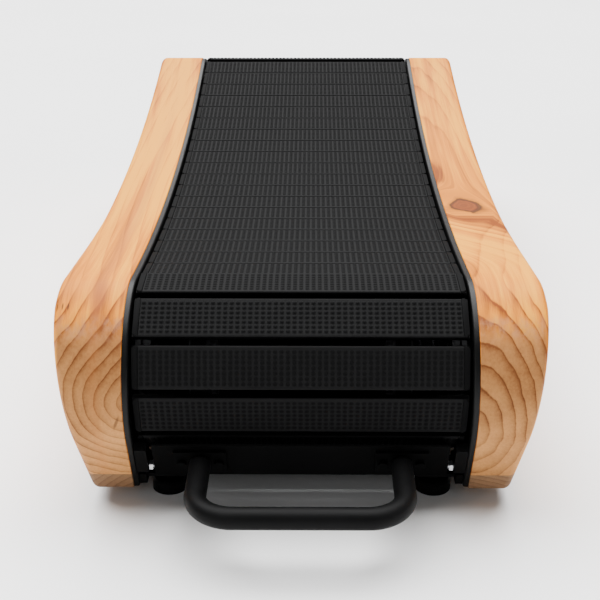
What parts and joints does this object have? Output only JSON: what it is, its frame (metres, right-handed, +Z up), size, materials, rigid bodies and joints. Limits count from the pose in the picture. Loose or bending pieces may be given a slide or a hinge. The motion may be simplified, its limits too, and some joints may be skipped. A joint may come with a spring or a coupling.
{
  "type": "curved manual treadmill",
  "caption": "Low curved walking treadmill without a motor: a rubber-studded slat belt runs between solid timber sides, with a lift handle at the rear.",
  "frame": {"origin": "middle of the footprint, lift handle included, on the floor", "axes": "+X to the right of a person walking on the belt, +Y to the raised front end, +Z up"},
  "size_m": [0.652, 1.5433, 0.342],
  "materials": {
    "panel_wood": "matt oiled pine",
    "base_wood": "matt oiled darker timber",
    "black_steel": "fine textured black powder coat",
    "trim_rubber": "satin black edge trim",
    "belt_rubber": "reinforced black belt",
    "slat_aluminium": "black anodised extrusion",
    "tread_rubber": "matt studded rubber",
    "foot_rubber": "matt black rubber",
    "wheel_plastic": "moulded black wheel",
    "roller_plastic": "moulded roller",
    "zinc_steel": "bright zinc plated",
    "bright_steel": "ground steel",
    "pulley_aluminium": "machined aluminium",
    "housing_iron": "black painted casting"
  },
  "bodies": {
    "frame": {"side_panel_left": "panel_wood", "side_panel_right": "panel_wood", "base_board_left": "base_wood", "base_board_right": "base_wood", "side_plate_left": "black_steel", "side_plate_right": "black_steel", "edge_trim_left": "trim_rubber", "edge_trim_right": "trim_rubber", "roller_rail_left": "black_steel", "roller_rail_right": "black_steel", "roller_bolts": "zinc_steel", "panel_screws": "zinc_steel", "rear_cross_plate": "black_steel", "front_cross_plate": "black_steel", "cross_beams": "black_steel", "beam_bolts": "zinc_steel", "corner_blocks": "black_steel", "corner_bolts": "zinc_steel", "corner_nuts": "zinc_steel", "lift_handle": "black_steel", "handle_flanges": "black_steel", "handle_bolts": "black_steel", "bearing_housings": "housing_iron", "shaft_bearings": "bright_steel", "housing_bolts": "zinc_steel", "carrier_belt_left": "belt_rubber", "carrier_belt_right": "belt_rubber", "timing_belt": "belt_rubber", "slat_carriers": "slat_aluminium", "slat_treads": "tread_rubber", "slat_screws": "zinc_steel", "foot_plates": "black_steel", "foot_nuts": "zinc_steel", "wheel_axles": "bright_steel"},
    "rear_drum": {"rear_shaft_bar": "bright_steel", "rear_pulley_left": "pulley_aluminium", "rear_pulley_right": "pulley_aluminium", "rear_sync_pulley": "pulley_aluminium"},
    "front_drum": {"front_shaft_bar": "bright_steel", "front_pulley_left": "pulley_aluminium", "front_pulley_right": "pulley_aluminium", "front_sync_pulley": "pulley_aluminium"},
    "roller_01": {"rollers_01": "roller_plastic"},
    "roller_02": {"rollers_02": "roller_plastic"},
    "roller_03": {"rollers_03": "roller_plastic"},
    "roller_04": {"rollers_04": "roller_plastic"},
    "roller_05": {"rollers_05": "roller_plastic"},
    "roller_06": {"rollers_06": "roller_plastic"},
    "roller_07": {"rollers_07": "roller_plastic"},
    "roller_08": {"rollers_08": "roller_plastic"},
    "roller_09": {"rollers_09": "roller_plastic"},
    "roller_10": {"rollers_10": "roller_plastic"},
    "roller_11": {"rollers_11": "roller_plastic"},
    "roller_12": {"rollers_12": "roller_plastic"},
    "wheel_left_body": {"wheel_left": "wheel_plastic"},
    "wheel_right_body": {"wheel_right": "wheel_plastic"},
    "foot_rear_left_body": {"foot_rear_left": "foot_rubber"},
    "foot_rear_right_body": {"foot_rear_right": "foot_rubber"},
    "foot_front_left_body": {"foot_front_left": "foot_rubber"},
    "foot_front_right_body": {"foot_front_right": "foot_rubber"}
  },
  "joints": [
    {"name": "rear_shaft_turn", "type": "hinge", "parent": "frame", "child": "rear_drum", "pos_m": [0, -0.5148, 0.177], "axis": [1, 0, 0], "continuous": true},
    {"name": "front_shaft_turn", "type": "hinge", "parent": "frame", "child": "front_drum", "pos_m": [0, 0.64295, 0.21885], "axis": [1, 0, 0], "continuous": true},
    {"name": "roller_01_turn", "type": "hinge", "parent": "frame", "child": "roller_01", "pos_m": [0, -0.45468, 0.2576], "axis": [1, 0, 0], "continuous": true},
    {"name": "roller_02_turn", "type": "hinge", "parent": "frame", "child": "roller_02", "pos_m": [0, -0.36097, 0.24744], "axis": [1, 0, 0], "continuous": true},
    {"name": "roller_03_turn", "type": "hinge", "parent": "frame", "child": "roller_03", "pos_m": [0, -0.26701, 0.23999], "axis": [1, 0, 0], "continuous": true},
    {"name": "roller_04_turn", "type": "hinge", "parent": "frame", "child": "roller_04", "pos_m": [0, -0.17287, 0.23525], "axis": [1, 0, 0], "continuous": true},
    {"name": "roller_05_turn", "type": "hinge", "parent": "frame", "child": "roller_05", "pos_m": [0, -0.07864, 0.23322], "axis": [1, 0, 0], "continuous": true},
    {"name": "roller_06_turn", "type": "hinge", "parent": "frame", "child": "roller_06", "pos_m": [0, 0.01562, 0.23391], "axis": [1, 0, 0], "continuous": true},
    {"name": "roller_07_turn", "type": "hinge", "parent": "frame", "child": "roller_07", "pos_m": [0, 0.10981, 0.23732], "axis": [1, 0, 0], "continuous": true},
    {"name": "roller_08_turn", "type": "hinge", "parent": "frame", "child": "roller_08", "pos_m": [0, 0.20387, 0.24344], "axis": [1, 0, 0], "continuous": true},
    {"name": "roller_09_turn", "type": "hinge", "parent": "frame", "child": "roller_09", "pos_m": [0, 0.29771, 0.25226], "axis": [1, 0, 0], "continuous": true},
    {"name": "roller_10_turn", "type": "hinge", "parent": "frame", "child": "roller_10", "pos_m": [0, 0.39126, 0.26378], "axis": [1, 0, 0], "continuous": true},
    {"name": "roller_11_turn", "type": "hinge", "parent": "frame", "child": "roller_11", "pos_m": [0, 0.48444, 0.278], "axis": [1, 0, 0], "continuous": true},
    {"name": "roller_12_turn", "type": "hinge", "parent": "frame", "child": "roller_12", "pos_m": [0, 0.57717, 0.29489], "axis": [1, 0, 0], "continuous": true},
    {"name": "wheel_left_turn", "type": "hinge", "parent": "frame", "child": "wheel_left_body", "pos_m": [-0.196, 0.6, 0.039], "axis": [1, 0, 0], "continuous": true},
    {"name": "wheel_right_turn", "type": "hinge", "parent": "frame", "child": "wheel_right_body", "pos_m": [0.196, 0.6, 0.039], "axis": [1, 0, 0], "continuous": true},
    {"name": "foot_rear_left_screw", "type": "slide", "parent": "frame", "child": "foot_rear_left_body", "axis": [0, 0, -1], "range_m": [0, 0.01]},
    {"name": "foot_rear_right_screw", "type": "slide", "parent": "frame", "child": "foot_rear_right_body", "axis": [0, 0, -1], "range_m": [0, 0.01]},
    {"name": "foot_front_left_screw", "type": "slide", "parent": "frame", "child": "foot_front_left_body", "axis": [0, 0, -1], "range_m": [0, 0.01]},
    {"name": "foot_front_right_screw", "type": "slide", "parent": "frame", "child": "foot_front_right_body", "axis": [0, 0, -1], "range_m": [0, 0.01]}
  ],
  "couplings": [
    {"joint": "front_shaft_turn", "follows": "rear_shaft_turn", "ratio": 1},
    {"joint": "roller_01_turn", "follows": "rear_shaft_turn", "ratio": 6},
    {"joint": "roller_02_turn", "follows": "rear_shaft_turn", "ratio": 6},
    {"joint": "roller_03_turn", "follows": "rear_shaft_turn", "ratio": 6},
    {"joint": "roller_04_turn", "follows": "rear_shaft_turn", "ratio": 6},
    {"joint": "roller_05_turn", "follows": "rear_shaft_turn", "ratio": 6},
    {"joint": "roller_06_turn", "follows": "rear_shaft_turn", "ratio": 6},
    {"joint": "roller_07_turn", "follows": "rear_shaft_turn", "ratio": 6},
    {"joint": "roller_08_turn", "follows": "rear_shaft_turn", "ratio": 6},
    {"joint": "roller_09_turn", "follows": "rear_shaft_turn", "ratio": 6},
    {"joint": "roller_10_turn", "follows": "rear_shaft_turn", "ratio": 6},
    {"joint": "roller_11_turn", "follows": "rear_shaft_turn", "ratio": 6},
    {"joint": "roller_12_turn", "follows": "rear_shaft_turn", "ratio": 6}
  ]
}
